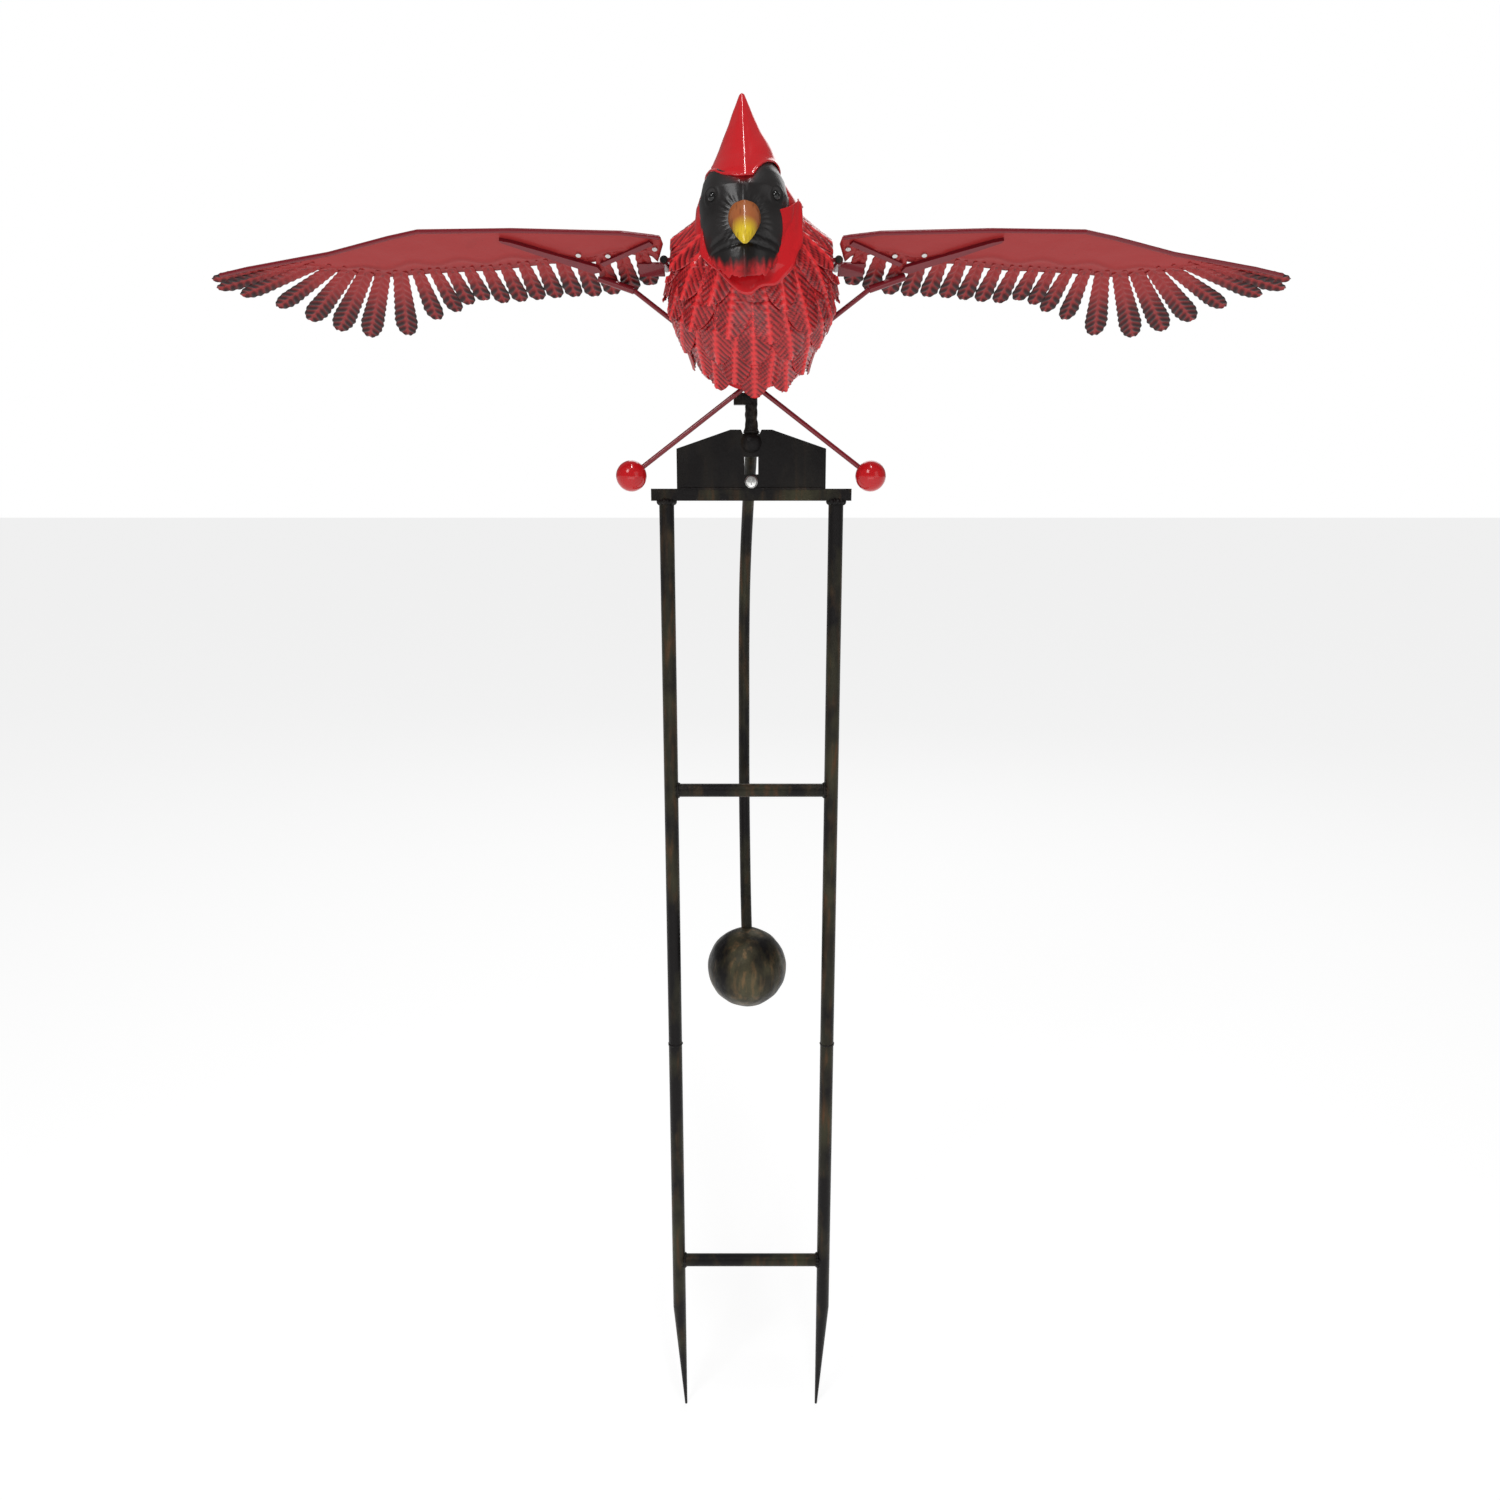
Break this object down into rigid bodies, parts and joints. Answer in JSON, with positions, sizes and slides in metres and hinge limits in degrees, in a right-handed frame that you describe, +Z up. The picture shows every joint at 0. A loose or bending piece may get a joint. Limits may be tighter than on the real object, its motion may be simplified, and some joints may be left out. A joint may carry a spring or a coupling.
{
  "type": "kinetic garden stake",
  "caption": "Pronged garden stake with a red bird that rocks on a pendulum and flaps two counterweighted wings.",
  "frame": {"origin": "on the soil line, midway between the two prongs", "axes": "+Z up, -Y towards the front, where the bird looks, +X to the right as seen from the front"},
  "size_m": [0.644, 0.255, 0.9053],
  "materials": {
    "stake_paint": "satin black paint brushed with copper and olive",
    "zinc_steel": "zinc plated",
    "weight_paint": "satin black paint speckled with bronze",
    "bird_red": "gloss red enamel",
    "mask_black": "gloss black enamel",
    "beak_paint": "orange fading to yellow",
    "eye_bead": "gloss",
    "wing_red": "red enamel over sheet, black brushed tips",
    "rod_red": "dark red enamel",
    "ball_red": "gloss red enamel"
  },
  "bodies": {
    "stake": {"left_lower_prong": "stake_paint", "right_lower_prong": "stake_paint", "foot_rung": "stake_paint", "left_upper_prong": "stake_paint", "right_upper_prong": "stake_paint", "middle_rung": "stake_paint", "crossbar": "stake_paint", "front_bracket_plate": "stake_paint", "rear_bracket_plate": "stake_paint", "bracket_spacer": "zinc_steel", "bracket_screw": "zinc_steel", "bracket_nut": "zinc_steel"},
    "rocker": {"pivot_ball": "stake_paint", "post": "stake_paint", "post_lug": "stake_paint", "pendulum_rod": "stake_paint", "pendulum_ball": "weight_paint", "body_saddle": "stake_paint", "body_shell": "bird_red", "feather_tier_1": "bird_red", "feather_tier_2": "bird_red", "feather_tier_3": "bird_red", "feather_tier_4": "bird_red", "feather_tier_5": "bird_red", "collar": "bird_red", "head_shell": "bird_red", "face_mask": "mask_black", "crest": "bird_red", "upper_beak": "beak_paint", "lower_beak": "beak_paint", "left_eye": "eye_bead", "right_eye": "eye_bead", "tail_fan": "bird_red", "left_hinge_bracket": "stake_paint", "right_hinge_bracket": "stake_paint", "left_hinge_pin": "zinc_steel", "right_hinge_pin": "zinc_steel"},
    "left_wing": {"left_wing_panel": "wing_red", "left_wing_rim": "wing_red", "left_hinge_leaf": "stake_paint", "left_wing_strut": "rod_red", "left_wing_brace": "rod_red", "left_arm_sleeve": "rod_red", "left_arm": "rod_red", "left_arm_ball": "ball_red", "left_wing_rivets": "stake_paint"},
    "right_wing": {"right_wing_panel": "wing_red", "right_wing_rim": "wing_red", "right_hinge_leaf": "stake_paint", "right_wing_strut": "rod_red", "right_wing_brace": "rod_red", "right_arm_sleeve": "rod_red", "right_arm": "rod_red", "right_arm_ball": "ball_red", "right_wing_rivets": "stake_paint"}
  },
  "joints": [
    {"name": "rocker_pitch", "type": "hinge", "parent": "stake", "child": "rocker", "pos_m": [0, 0, 0.5956], "axis": [1, 0, 0], "range_deg": [-8, 8]},
    {"name": "left_wing_flap", "type": "hinge", "parent": "rocker", "child": "left_wing", "pos_m": [-0.0505, -0.026, 0.696], "axis": [0, 1, 0], "range_deg": [-15, 15]},
    {"name": "right_wing_flap", "type": "hinge", "parent": "rocker", "child": "right_wing", "pos_m": [0.0505, -0.026, 0.696], "axis": [0, 1, 0], "range_deg": [-15, 15]}
  ]
}
